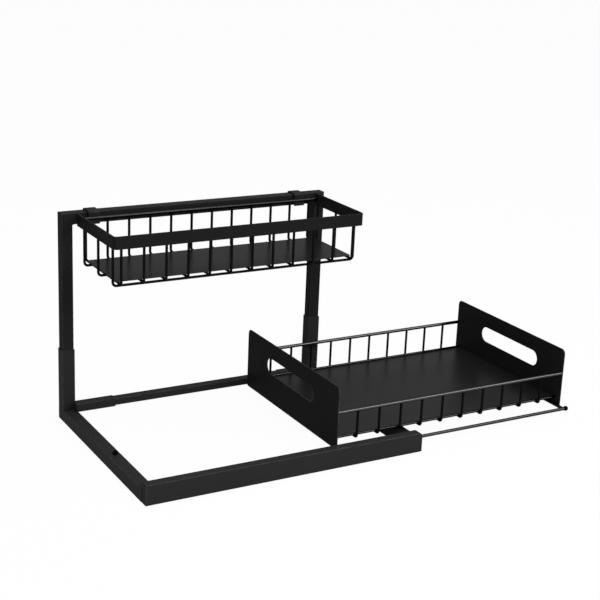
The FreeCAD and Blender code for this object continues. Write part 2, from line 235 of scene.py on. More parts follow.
@dataclass(frozen=True)
class Finish:
    """A surface finish made of noise on object coordinates.

    Attributes:
        name: Name of the material.
        slot: Slot of the record that the finish belongs to.
        colour: Main colour.
        mottle: Colour that faint clouds shift towards.
        roughness: Lowest and highest roughness over the surface.
        specular: Strength of the reflection off the surface.
        metallic: One where the coat reflects as metal does, zero for matt paint and plastic.
        grazing: How much of the reflection is left at a low angle, for metal.
        wear_width: Widest face that counts as part of a rubbed edge, or zero for no wear.
        worn: Colour of the rubbed coat.
        patch_size: Size of the patches in which the coat is rubbed more or less.
        cloud_size: Size of the faint clouds of colour and gloss.
        grain_size: Size of the fine grain.
        grain_height: Height of the fine grain.
        grain_stretch: How much longer the grain is along each axis.
    """

    name: str
    slot: Slot
    colour: Triple
    mottle: Triple
    roughness: Span
    specular: float
    metallic: float = 0.0
    grazing: float = 1.0
    wear_width: float = 0.0
    worn: Triple = grey(0.05, 0.05)
    patch_size: float = 8 * MILLIMETRE
    cloud_size: float = 30 * MILLIMETRE
    grain_size: float = 0.7 * MILLIMETRE
    grain_height: float = 0.03 * MILLIMETRE
    grain_stretch: Triple = (1.0, 1.0, 1.0)

    def edge_wear(self, tree: Tree, place: Socket) -> Socket:
        """Mask of the rubbed coat along edges.

        Args:
            tree: Tree that the nodes go into.
            place: Socket that gives the place on the surface.

        Returns:
            Socket that is highest on a rubbed edge and zero on a flat face.
        """
        edge = tree.nodes.new("ShaderNodeAttribute")
        edge.attribute_name = EDGE_MARK
        patches = noise(tree, place, self.patch_size, PATCH_DETAIL)
        rub = add_node(tree, "ShaderNodeMapRange", Value=patches, From_Min=RUB_FROM, From_Max=RUB_TO,
                       To_Min=LEAST_RUB)
        return math_node(tree, "MULTIPLY", edge.outputs["Fac"], rub.outputs["Result"])

    def material(self) -> bpy.types.Material:
        """Node material of the finish, made once.

        Returns:
            The material.
        """
        found = bpy.data.materials.get(self.name)
        if found:
            return found
        made = bpy.data.materials.new(self.name)
        made.use_nodes = True
        made.diffuse_color = (*self.colour, 1.0)
        tree = made.node_tree
        place = tree.nodes.new("ShaderNodeTexCoord").outputs["Object"]
        clouds = noise(tree, place, self.cloud_size, CLOUD_DETAIL)
        tint = mixed(tree, clouds, (*self.colour, 1.0), (*self.mottle, 1.0))
        if self.wear_width:
            tint = mixed(tree, self.edge_wear(tree, place), tint, (*self.worn, 1.0))
        gloss = add_node(tree, "ShaderNodeMapRange", Value=clouds, To_Min=self.roughness[0],
                         To_Max=self.roughness[1])
        stretch = [1 / share for share in self.grain_stretch]
        turn = add_node(tree, "ShaderNodeMapping", Vector=place, Scale=stretch)
        grain = noise(tree, turn.outputs["Vector"], self.grain_size, GRAIN_DETAIL)
        bump = add_node(tree, "ShaderNodeBump", Height=grain, Distance=self.grain_height)
        settings = {"Metallic": self.metallic, "Specular IOR Level": self.specular,
                    "Specular Tint": (self.grazing, self.grazing, self.grazing, 1.0), "Base Color": tint,
                    "Roughness": gloss.outputs["Result"], "Normal": bump.outputs["Normal"]}
        for label, value in settings.items():
            feed(tree, tree.nodes["Principled BSDF"].inputs[label], value)
        return made


# Lighter copy of the black powder coat for the low tubes, rails and sockets: painted light standing in for
# the bounce off the white floor.
LOWER_COAT_WITH_PAINTED_LIGHT = Finish("black powder coat on lower tubes", Slot.POWDER_COAT, grey(0.0225, 0.023),
                   grey(0.0255, 0.026), (0.38, 0.46), 0.006, wear_width=1.0 * MILLIMETRE)
# Darker copy of the same coat for the posts, top bar, corner welds and hooks: painted shade, as the upper
# parts get less bounce light.
UPPER_COAT_WITH_PAINTED_SHADE = Finish("black powder coat on posts and strips", Slot.POWDER_COAT, grey(0.0152, 0.0155),
                   grey(0.0172, 0.0175), (0.4, 0.48), 0.004, wear_width=0.8 * MILLIMETRE,
                   worn=grey(0.035, 0.035))
# Darker copy of the same coat for the basket rim: painted shade, as the upper parts get less bounce light.
RIM_COAT_WITH_PAINTED_SHADE = Finish("black powder coat on basket rim", Slot.POWDER_COAT, grey(0.0125, 0.0128),
                  grey(0.0142, 0.0145), (0.4, 0.48), 0.005, wear_width=0.8 * MILLIMETRE,
                  worn=grey(0.035, 0.035))
PLATE_COAT = Finish("black powder coat on end plates", Slot.POWDER_COAT, grey(0.0125, 0.0128),
                    grey(0.0142, 0.0145), (0.42, 0.5), 0.005, wear_width=1.0 * MILLIMETRE)
BASKET_FLOOR_COAT = Finish("black powder coat on basket floor", Slot.POWDER_COAT, grey(0.0105, 0.0107),
                           grey(0.0118, 0.012), (0.22, 0.28), 0.0063, wear_width=0.6 * MILLIMETRE)
DRAWER_FLOOR_COAT = Finish("black powder coat on drawer floor", Slot.POWDER_COAT, grey(0.0088, 0.009),
                           grey(0.0098, 0.01), (0.3, 0.36), 0.0205, wear_width=0.6 * MILLIMETRE)
WIRE_COAT = Finish("black powder coat on bent wire", Slot.POWDER_COAT, grey(0.005, 0.0051),
                   grey(0.007, 0.0071), (0.3, 0.36), 0.004)
FENCE_COAT = Finish("glossy black fence wire", Slot.POWDER_COAT, grey(0.06, 0.061),
                    grey(0.07, 0.071), (0.08, 0.12), 0.5, metallic=1.0, grazing=0.0)
# Darker, slightly rougher copy of the glossy fence-wire coat: painted shade for the dark lower halves of the
# drawer's base wires and the basket's rear wire.
WIRE_COAT_WITH_PAINTED_SHADE = Finish("black straight wire with painted shade", Slot.POWDER_COAT, grey(0.026, 0.0265),
                         grey(0.032, 0.0325), (0.12, 0.16), 0.5, metallic=1.0, grazing=0.0)
MOULDED = Finish("black moulded plastic", Slot.PLASTIC, grey(0.019, 0.019), grey(0.022, 0.022),
                 (0.42, 0.5), 0.006, grain_size=0.4 * MILLIMETRE, wear_width=0.8 * MILLIMETRE)
RUBBER = Finish("black rubber", Slot.PLASTIC, grey(0.003, 0.003), grey(0.004, 0.004), (0.7, 0.8), 0.004,
                grain_size=0.3 * MILLIMETRE)
DRAWN_STEEL = Finish("dark drawn steel rod", Slot.STEEL, grey(0.034, 0.035), grey(0.042, 0.043),
                     (0.1, 0.15), 0.5, metallic=1.0, grazing=0.0, grain_size=0.25 * MILLIMETRE,
                     grain_height=0.01 * MILLIMETRE, grain_stretch=(30.0, 1.0, 1.0))


@dataclass(frozen=True)
class RoundedRect:
    """Rectangle with its own radius at each corner: low-low, high-low, high-high, low-high."""

    u: Span
    v: Span
    radii: tuple[float, float, float, float]

    @classmethod
    def even(cls, u: Span, v: Span, radius: float) -> "RoundedRect":
        """Rectangle with the same radius at every corner."""
        return cls(u, v, (radius,) * 4)

    def inset(self, amount: float) -> "RoundedRect":
        """The same shape drawn in at every side, or let out by a negative amount."""
        radii = tuple(max(radius - amount, LEAST_RADIUS) for radius in self.radii)
        return RoundedRect(shrunk(self.u, amount), shrunk(self.v, amount), radii)

    def loop(self) -> list[Point2]:
        """Points round the outline, with the same number at every corner.

        Returns:
            The points, anticlockwise.
        """
        corners = ((0, 0, 1, 1), (1, 0, -1, 1), (1, 1, -1, -1), (0, 1, 1, -1))
        points = []
        for index, (end_u, end_v, way_u, way_v) in enumerate(corners):
            radius = self.radii[index]
            mid_u = self.u[end_u] + way_u * radius
            mid_v = self.v[end_v] + way_v * radius
            for turn in quarter_turns(CORNER_STEPS):
                angle = QUARTER * (index + 2) + turn
                points.append((mid_u + radius * math.cos(angle), mid_v + radius * math.sin(angle)))
        return points


@dataclass(frozen=True)
class Station:
    """Section of a loft at one place along it.

    Attributes:
        along: Place along the axis of the loft.
        outer: Outline of the section.
        hole: Outline of the hole in it, if there is one.
        lean: How much the place shifts for each unit of u and of v, for a mitred end.
        lean_from: Place on u and v where the shift is zero.
    """

    along: float
    outer: RoundedRect
    hole: Optional[RoundedRect] = None
    lean: Point2 = (0.0, 0.0)
    lean_from: Point2 = (0.0, 0.0)

    def points(self, axis: Axis, outline: RoundedRect) -> list[Vector]:
        """Points of one of the section's outlines.

        Args:
            axis: Axis of the loft.
            outline: The outer outline or the hole.

        Returns:
            The points in order.
        """
        found = []
        for u, v in outline.loop():
            shift = self.lean[0] * (u - self.lean_from[0]) + self.lean[1] * (v - self.lean_from[1])
            found.append(axis.point(self.along + shift, u, v))
        return found


def eased(span: Span, edge: float) -> list[Point2]:
    """Places along a span and how far the section is drawn in there, for rounded ends.

    Args:
        span: First and last place.
        edge: Radius of the rounding.

    Returns:
        Pairs of place and inset, from the first end to the last.
    """
    curve = [(edge * (1 - math.cos(t)), edge * (1 - math.sin(t))) for t in quarter_turns(EDGE_STEPS)]
    first = [(span[0] + along, inset) for along, inset in curve]
    last = [(span[1] - along, inset) for along, inset in reversed(curve)]
    return first + last


def new_object(name: str, mesh: bpy.types.Mesh) -> Piece:
    """Object at the origin for a mesh that already has its place in its points.

    Args:
        name: Name of the object.
        mesh: Its mesh.

    Returns:
        The new object.
    """
    made = bpy.data.objects.new(name, mesh)
    bpy.context.scene.collection.objects.link(made)
    return made


def plain_mesh(piece: Piece) -> None:
    """Turns a piece and its modifiers into a plain mesh.

    Args:
        piece: The piece.
    """
    graph = bpy.context.evaluated_depsgraph_get()
    mesh = bpy.data.meshes.new_from_object(piece.evaluated_get(graph), preserve_all_data_layers=True,
                                           depsgraph=graph)
    piece.modifiers.clear()
    piece.data = mesh
    mesh.name = piece.name


def from_bmesh(name: str, shape: bmesh.types.BMesh, edge: float = 0.0,
               cutter: Optional[Piece] = None) -> Piece:
    """Object of a closed shape, smooth but for its sharp edges.

    Args:
        name: Name of the piece.
        shape: The shape, which is freed.
        edge: Radius to round its sharp edges by, if any.
        cutter: Shape to cut out of it, if any, which is removed.

    Returns:
        The new object.
    """
    bmesh.ops.remove_doubles(shape, verts=shape.verts, dist=MERGE_DISTANCE)
    bmesh.ops.recalc_face_normals(shape, faces=shape.faces)
    mesh = bpy.data.meshes.new(name)
    shape.to_mesh(mesh)
    shape.free()
    piece = new_object(name, mesh)
    if cutter:
        cut = piece.modifiers.new("cut out", "BOOLEAN")
        cut.object = cutter
        cut.solver = "EXACT"
        plain_mesh(piece)
        bpy.data.meshes.remove(cutter.data)
    if edge:
        rounding = piece.modifiers.new("rounded edges", "BEVEL")
        rounding.width = edge
        rounding.segments = EDGE_STEPS
        rounding.limit_method = "ANGLE"
        rounding.angle_limit = SHARP_ANGLE
        plain_mesh(piece)
    piece.data.shade_smooth()
    piece.data.set_sharp_from_angle(angle=SHARP_ANGLE)
    flats = piece.modifiers.new("flat faces", "WEIGHTED_NORMAL")
    flats.keep_sharp = True
    plain_mesh(piece)
    return piece


def ring(shape: bmesh.types.BMesh, first: Sequence, last: Sequence) -> None:
    """Faces between two closed loops of as many points."""
    for index in range(len(first)):
        shape.faces.new((first[index - 1], first[index], last[index], last[index - 1]))


def loft(name: str, axis: Axis, stations: Sequence[Station], cutter: Optional[Piece] = None) -> Piece:
    """Closed shape through rounded sections, with a hole along it if the sections have one.

    Args:
        name: Name of the piece.
        axis: Axis that the sections follow.
        stations: The sections in order.
        cutter: Shape to cut out of it, if any, which is removed.

    Returns:
        The new object.
    """
    shape = bmesh.new()
    outer = [[shape.verts.new(p) for p in s.points(axis, s.outer)] for s in stations]
    for first, last in zip(outer, outer[1:]):
        ring(shape, first, last)
    if stations[0].hole:
        inner = [[shape.verts.new(p) for p in s.points(axis, s.hole)] for s in stations]
        for first, last in zip(inner, inner[1:]):
            ring(shape, first, last)
        ring(shape, outer[0], inner[0])
        ring(shape, outer[-1], inner[-1])
    else:
        shape.faces.new(outer[0])
        shape.faces.new(outer[-1])
    return from_bmesh(name, shape, cutter=cutter)


def block(name: str, axis: Axis, span: Span, outline: RoundedRect, edge: float,
          hole: Optional[RoundedRect] = None) -> Piece:
    """Straight block, plate or tube along an axis, with the edges of its two ends rounded."""
    return loft(name, axis, [Station(at, outline.inset(i), hole.inset(-i) if hole else None)
                             for at, i in eased(span, edge)])


def prism(name: str, axis: Axis, span: Span, outline: Sequence[Point2]) -> Piece:
    """Straight block of any outline.

    Args:
        name: Name of the piece.
        axis: Axis that it runs along.
        span: First and last place along that axis.
        outline: Points of its outline on u and v.

    Returns:
        The new object.
    """
    shape = bmesh.new()
    ends = [[shape.verts.new(axis.point(at, u, v)) for u, v in outline] for at in span]
    for end in ends:
        shape.faces.new(end)
    ring(shape, *ends)
    return from_bmesh(name, shape)


def turned(name: str, axis: Axis, centre: Point2, profile: Sequence[Point2]) -> Piece:
    """Round shape about a line along an axis.

    Args:
        name: Name of the piece.
        axis: Axis of the line.
        centre: Place of the line on u and v.
        profile: Pairs of place along the axis and radius there.

    Returns:
        The new object.
    """
    shape = bmesh.new()
    angles = [2 * math.pi * step / ROUND_STEPS for step in range(ROUND_STEPS)]
    loops = []
    for along, radius in profile:
        loops.append([shape.verts.new(axis.point(along, centre[0] + radius * math.cos(a),
                                                 centre[1] + radius * math.sin(a))) for a in angles])
    for first, last in zip(loops, loops[1:]):
        ring(shape, first, last)
    shape.faces.new(loops[0])
    shape.faces.new(loops[-1])
    return from_bmesh(name, shape)


def bent_line(points: Sequence[Point2], bend: float) -> list[Vector]:
    """Line through points with its corners rounded by arcs.

    Args:
        points: Ends and corners of the line.
        bend: Radius of each arc.

    Returns:
        Points along the line.
    """
    line = [Vector(points[0])]
    for before, corner, after in zip(points, points[1:], points[2:]):
        at = Vector(corner)
        into = (at - Vector(before)).normalized()
        away = (Vector(after) - at).normalized()
        turn = into.angle(away)
        side = (away - into * into.dot(away)).normalized()
        start = at - into * (bend * math.tan(turn / 2))
        for step in range(FOLD_STEPS + 1):
            angle = turn * step / FOLD_STEPS
            line.append(start + into * (bend * math.sin(angle)) + side * (bend * (1 - math.cos(angle))))
    line.append(Vector(points[-1]))
    return line


def folded_sheet(name: str, axis: Axis, span: Span, corners: Sequence[Point2], bend: float,
                 thickness: float, edge: float) -> Piece:
    """Strip of sheet metal folded along a line.

    Args:
        name: Name of the piece.
        axis: Axis that the folds run along.
        span: First and last place along that axis.
        corners: Ends and corners of the middle of the sheet, seen along the axis.
        bend: Radius of the folds, at the middle of the sheet.
        thickness: Thickness of the sheet.
        edge: Radius of the sheet's edges.

    Returns:
        The new object.
    """
    spots = bent_line(corners, bend)
    outline, back = [], []
    for index, spot in enumerate(spots):
        before = spots[max(index - 1, 0)]
        after = spots[min(index + 1, len(spots) - 1)]
        way = (after - before).normalized()
        across = Vector((-way.y, way.x)) * (thickness / 2)
        outline.append(spot + across)
        back.append(spot - across)
    shape = bmesh.new()
    grid = [[[shape.verts.new(axis.point(at, p.x, p.y)) for p in side] for side in (outline, back)]
            for at in span]
    for index in range(len(spots) - 1):
        after = index + 1
        for end in grid:
            shape.faces.new((end[0][index], end[0][after], end[1][after], end[1][index]))
        for low, high in zip(*grid):
            shape.faces.new((low[index], low[after], high[after], high[index]))
    for index in (0, -1):
        shape.faces.new((grid[0][0][index], grid[0][1][index], grid[1][1][index], grid[1][0][index]))
    return from_bmesh(name, shape, edge)


def mark_edges(mesh: bpy.types.Mesh, width: float) -> None:
    """Marks the points that lie on narrow faces alone, which are those of rounded edges.

    Args:
        mesh: Mesh to mark.
        width: Widest face that counts as narrow.
    """
    flat = set()
    for face in mesh.polygons:
        points = [mesh.vertices[index].co for index in face.vertices]
        longest = max((a - b).length for a, b in zip(points, points[1:] + points[:1]))
        if face.area > width * longest:
            flat.update(face.vertices)
    mark = mesh.attributes.new(EDGE_MARK, "FLOAT", "POINT")
    for index, value in enumerate(mark.data):
        value.value = 0.0 if index in flat else 1.0


def dress(piece: Piece, body: Body, finish: Finish, nodes: Iterable[str] = (), rubbed: bool = True) -> None:
    """Gives a piece its finish and its body, and hides the nodes that it stands for.

    Args:
        piece: The piece.
        body: Body that it rides on.
        finish: Its finish.
        nodes: Nodes of the frame that it replaces.
        rubbed: Whether the finish is worn along the piece's edges.
    """
    piece.data.materials.clear()
    piece.data.materials.append(finish.material())
    if rubbed and finish.wear_width:
        mark_edges(piece.data, finish.wear_width)
    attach(piece, body.value)
    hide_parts(*nodes)
    log.info("%s: %d faces on %s", piece.name, len(piece.data.polygons), body.value)


def straight_rod(name: str, node: str, axis: Axis, radius: float, edge: float, body: Body,
                 finish: Finish) -> None:
    """Straight round rod or wire with rounded ends.

    Args:
        name: Name of the piece.
        node: Node that it replaces.
        axis: Axis of the rod.
        radius: Radius of the rod.
        edge: Radius of the rounding at its ends.
        body: Body that it rides on.
        finish: Its finish.
    """
    span, u, v = axis.spans(node)
    profile = [(along, radius - inset) for along, inset in eased(span, edge)]
    dress(turned(name, axis, (middle(u), middle(v)), profile), body, finish, [node])


class NodeTool:
    """A Geometry Nodes tree with named inputs, run on a host mesh and turned into a plain mesh."""

    def __init__(self, name: str, inputs: dict[str, str]) -> None:
        """Starts a tree.

        Args:
            name: Name of the tree.
            inputs: Name of each input with its socket type.
        """
        self.tree = bpy.data.node_groups.new(name, "GeometryNodeTree")
        for way in ("INPUT", "OUTPUT"):
            self.tree.interface.new_socket("Geometry", in_out=way, socket_type="NodeSocketGeometry")
        for label, kind in inputs.items():
            self.tree.interface.new_socket(label, in_out="INPUT", socket_type=kind)
        self.source = self.tree.nodes.new("NodeGroupInput")
        self.result = self.tree.nodes.new("NodeGroupOutput")

    def add(self, kind: str, **inputs: object) -> bpy.types.Node:
        """Adds a node to the tree, with its inputs given as for add_node."""
        return add_node(self.tree, kind, **inputs)

    def close(self, geometry: Socket) -> None:
        """Ends the tree in Realize Instances and Set Material.

        Args:
            geometry: What the tree has made.
        """
        realized = self.add("GeometryNodeRealizeInstances", Geometry=geometry)
        shaded = self.add("GeometryNodeSetShadeSmooth", Geometry=realized.outputs[0], Shade_Smooth=True)
        coated = self.add("GeometryNodeSetMaterial", Geometry=shaded.outputs[0],
                          Material=self.source.outputs["Material"])
        self.tree.links.new(coated.outputs[0], self.result.inputs[0])

    def run(self, name: str, points: Sequence[Vector], chained: bool, **values: object) -> Piece:
        """Runs the tree on a host mesh.

        Args:
            name: Name of the piece.
            points: Points of the host mesh.
            chained: Whether the points are joined in a line.
            **values: A value for each input, with _ for a space in its name.

        Returns:
            The piece as a plain mesh.
        """
        mesh = bpy.data.meshes.new(name)
        edges = [(i, i + 1) for i in range(len(points) - 1)] if chained else []
        mesh.from_pydata([tuple(p) for p in points], edges, [])
        piece = new_object(name, mesh)
        modifier = piece.modifiers.new(self.tree.name, "NODES")
        modifier.node_group = self.tree
        for item in self.tree.interface.items_tree:
            key = item.name.replace(" ", "_")
            if item.in_out == "INPUT" and key in values:
                modifier[item.identifier] = values[key]
        plain_mesh(piece)
        piece.data.set_sharp_from_angle(angle=SHARP_ANGLE)
        return piece


def wire_tool() -> NodeTool:
    """Tree that bends a wire along a line and repeats it in a row.

    Returns:
        The tool.
    """
    tool = NodeTool("row of bent wires", {
        "Wire Radius": "NodeSocketFloat", "Bend Radius": "NodeSocketFloat", "Bend Steps": "NodeSocketInt",
        "Count": "NodeSocketInt", "Step": "NodeSocketVector", "Material": "NodeSocketMaterial"})
    give = tool.source.outputs
    line = tool.add("GeometryNodeMeshToCurve", Mesh=give["Geometry"])
    bent = tool.add("GeometryNodeFilletCurve", Curve=line.outputs[0], Radius=give["Bend Radius"])
    bent.mode = "POLY"
    feed(tool.tree, bent.inputs["Count"], give["Bend Steps"])
    section = tool.add("GeometryNodeCurvePrimitiveCircle", Resolution=WIRE_STEPS, Radius=give["Wire Radius"])
    wire = tool.add("GeometryNodeCurveToMesh", Curve=bent.outputs[0], Profile_Curve=section.outputs[0],
                    Fill_Caps=True)
    row = tool.add("GeometryNodeMeshLine", Count=give["Count"], Offset=give["Step"])
    placed = tool.add("GeometryNodeInstanceOnPoints", Points=row.outputs[0], Instance=wire.outputs[0])
    tool.close(placed.outputs[0])
    return tool


def weld_tool() -> NodeTool:
    """Tree that sets a small weld bead at each point, no two quite the same size.

    Returns:
        The tool.
    """
    tool = NodeTool("weld beads", {
        "Bead Size": "NodeSocketVector", "Swing": "NodeSocketFloat", "Seed": "NodeSocketInt",
        "Material": "NodeSocketMaterial"})
    give = tool.source.outputs
    spots = tool.add("GeometryNodeMeshToPoints", Mesh=give["Geometry"])
    bead = tool.add("GeometryNodeMeshIcoSphere", Radius=1.0, Subdivisions=BEAD_STEPS)
    chance = tool.add("FunctionNodeRandomValue", Seed=give["Seed"])
    chance.data_type = "FLOAT"
    least, most = [socket for socket in chance.inputs if socket.type == "VALUE"][:2]
    feed(tool.tree, least, math_node(tool.tree, "SUBTRACT", 1.0, give["Swing"]))
    feed(tool.tree, most, 1.0)
    share = next(socket for socket in chance.outputs if socket.type == "VALUE")
    size = tool.add("ShaderNodeVectorMath", Vector=give["Bead Size"])
    size.operation = "SCALE"
    feed(tool.tree, size.inputs["Scale"], share)
    placed = tool.add("GeometryNodeInstanceOnPoints", Points=spots.outputs[0], Instance=bead.outputs[0],
                      Scale=size.outputs[0])
    tool.close(placed.outputs[0])
    return tool


@dataclass
class TubeFrame:
    """Square-tube frame: cross bars, sleeves, posts, top bar and their plugs.

    Attributes:
        corner: Outside radius of the tubes' long edges.
        wall: Wall of the tubes.
        lip: Rounding of the tubes' cut ends.
        bore_corner: Radius in the corners of a sleeve's bore.
        sleeve_wall: Wall of the sleeves.
        plug_fit: Distance from a tube's outside to the spigot of its plug.
        plug_edge: Rounding of a plug's flange.
        weld_leg: Leg of the weld under each corner of the top bar.
        weld_set_back: How far that weld stays in from the tube's faces.
        front_weld_run: How far the ground weld at the front left corner runs out on the rail's plug.
        button_radius: Radius of the domed stop button on the left cross bar.
        button_foot: Height of the button's straight foot, under its dome.
        button_share: Place of the button along the left cross bar, as a share of its length.
        button_inset: Distance of the button's middle from the bar's inner edge.
    """

    corner: float = 1.0 * MILLIMETRE
    wall: float = 1.2 * MILLIMETRE
    lip: float = 0.35 * MILLIMETRE
    bore_corner: float = 0.2 * MILLIMETRE
    sleeve_wall: float = 1.0 * MILLIMETRE
    plug_fit: float = 1.3 * MILLIMETRE
    plug_edge: float = 0.4 * MILLIMETRE
    weld_leg: float = 3.0 * MILLIMETRE
    weld_set_back: float = 1.5 * MILLIMETRE
    front_weld_run: float = 2.4 * MILLIMETRE
    button_radius: float = 3.4 * MILLIMETRE
    button_foot: float = 2.2 * MILLIMETRE
    button_share: float = 0.373
    button_inset: float = 7.6 * MILLIMETRE

    def hollow(self, name: str, node: str, axis: Axis, wall: float, bore_corner: float) -> None:
        """Straight tube with rounded lips.

        Args:
            name: Name of the piece.
            node: Node that it replaces.
            axis: Axis of the tube.
            wall: Its wall.
            bore_corner: Radius in the corners of its bore, which are sharp where it isn't above zero.
        """
        span, u, v = axis.spans(node)
        bore = RoundedRect.even(shrunk(u, wall), shrunk(v, wall), bore_corner)
        piece = block(name, axis, span, RoundedRect.even(u, v, self.corner), self.lip, bore)
        dress(piece, Body.FRAME, LOWER_COAT_WITH_PAINTED_LIGHT, [node])

    def tube(self, name: str, node: str, axis: Axis) -> None:
        """Tube with the common wall, and a bore that follows its outside."""
        self.hollow(name, node, axis, self.wall, self.corner - self.wall)

    def sleeve(self, side: str) -> None:
        """Sleeve tube with a bore that fits the post."""
        self.hollow(side + "_sleeve_tube", side + "_post_sleeve", Axis.Z, self.sleeve_wall, self.bore_corner)

    def post(self, side: str) -> None:
        """Upper post, cut to a mitre at its top.

        Args:
            side: Left or right.
        """
        node = side + "_upper_post"
        span, u, v = Axis.Z.spans(node)
        outer = RoundedRect.even(u, v, self.corner)
        hole = outer.inset(self.wall)
        lean, corner_x = ((-1.0, 0.0), u[0]) if side == "left" else ((1.0, 0.0), u[1])
        ends = [Station(span[0], outer, hole), Station(span[1], outer, hole, lean, (corner_x, 0.0))]
        dress(loft(side + "_post_tube", Axis.Z, ends), Body.FRAME, UPPER_COAT_WITH_PAINTED_SHADE, [node])

    def top_bar(self) -> None:
        """Top bar, mitred at both ends to the posts."""
        span, u, v = Axis.X.spans("top_bar")
        outer = RoundedRect.even(u, v, self.corner)
        ends = [Station(at, outer, outer.inset(self.wall), (0.0, lean), (0.0, v[1]))
                for at, lean in zip(span, (-1.0, 1.0))]
        dress(loft("top_bar_tube", Axis.X, ends), Body.FRAME, UPPER_COAT_WITH_PAINTED_SHADE, ["top_bar"])

    def plug(self, name: str, node: str, tube_node: str, axis: Axis, at_high_end: bool) -> None:
        """End plug: a flange flush with its tube and a spigot inside it.

        Args:
            name: Name of the piece.
            node: Node that it replaces.
            tube_node: Node of the tube that it closes.
            axis: Axis of the tube.
            at_high_end: Whether it closes the tube's high end.
        """
        span, u, v = axis.spans(node)
        outer = RoundedRect.even(u, v, self.corner)
        spigot = outer.inset(self.plug_fit)
        face = int(at_high_end)
        seam = axis.spans(tube_node)[0][face]
        edges = eased((min(seam, span[face]), max(seam, span[face])), self.plug_edge)
        stations = [Station(at, spigot) for at in (span[1 - face], seam)]
        stations += [Station(at, outer.inset(i)) for at, i in (edges if at_high_end else edges[::-1])]
        dress(loft(name, axis, stations), Body.FRAME, MOULDED, [node])

    def corner_weld(self, side: str) -> None:
        """Weld in the inner corner between a post and the top bar.

        Args:
            side: Left or right.
        """
        _, post_x, post_y = Axis.Z.spans(side + "_upper_post")
        bar_low = Axis.Z.spans("top_bar")[0][0]
        corner_x, way = (post_x[1], 1.0) if side == "left" else (post_x[0], -1.0)
        outline = [(corner_x, bar_low)]
        for angle in quarter_turns(FOLD_STEPS):
            outline.append((corner_x + way * self.weld_leg * (1 - math.sin(angle)),
                            bar_low - self.weld_leg * (1 - math.cos(angle))))
        weld = prism(side + "_corner_weld", Axis.Y, shrunk(post_y, self.weld_set_back), outline)
        dress(weld, Body.FRAME, UPPER_COAT_WITH_PAINTED_SHADE, rubbed=False)

    def front_weld(self) -> None:
        """Weld ground smooth between the left cross bar and the end of the front rail."""
        span, bar_x, bar_y = Axis.Z.spans("left_cross_bar")
        plug_x = Axis.X.spans("front_rail_plug")[0][0]
        back, front = bar_y[0] + self.lip, bar_y[0] - self.front_weld_run
        outline = [(bar_x[0], back), (plug_x + self.wall, back), (plug_x + self.wall, front), (plug_x, front)]
        weld = prism("left_front_weld", Axis.Z, shrunk(span, self.corner), outline)
        dress(weld, Body.FRAME, LOWER_COAT_WITH_PAINTED_LIGHT, rubbed=False)

    def stop_button(self) -> None:
        """Domed rubber stop on top of the left cross bar."""
        (_, top), bar_x, bar_y = Axis.Z.spans("left_cross_bar")
        centre = (bar_x[1] - self.button_inset, bar_y[0] + (bar_y[1] - bar_y[0]) * self.button_share)
        profile = [(top - self.lip, self.button_radius)]
        for angle in quarter_turns(CORNER_STEPS):
            profile.append((top + self.button_foot + self.button_radius * math.sin(angle),
                            max(self.button_radius * math.cos(angle), LEAST_RADIUS)))
        dress(turned("left_stop_button", Axis.Z, centre, profile), Body.FRAME, RUBBER)

    def build(self) -> None:
        """Builds and dresses every piece of the frame."""
        for side in SIDES:
            self.tube(side + "_cross_bar_tube", side + "_cross_bar", Axis.Y)
            self.plug(side + "_cross_bar_end", side + "_cross_bar_plug", side + "_cross_bar", Axis.Y, True)
            self.sleeve(side)
            self.post(side)
            self.corner_weld(side)
        self.top_bar()
        self.front_weld()
        self.stop_button()


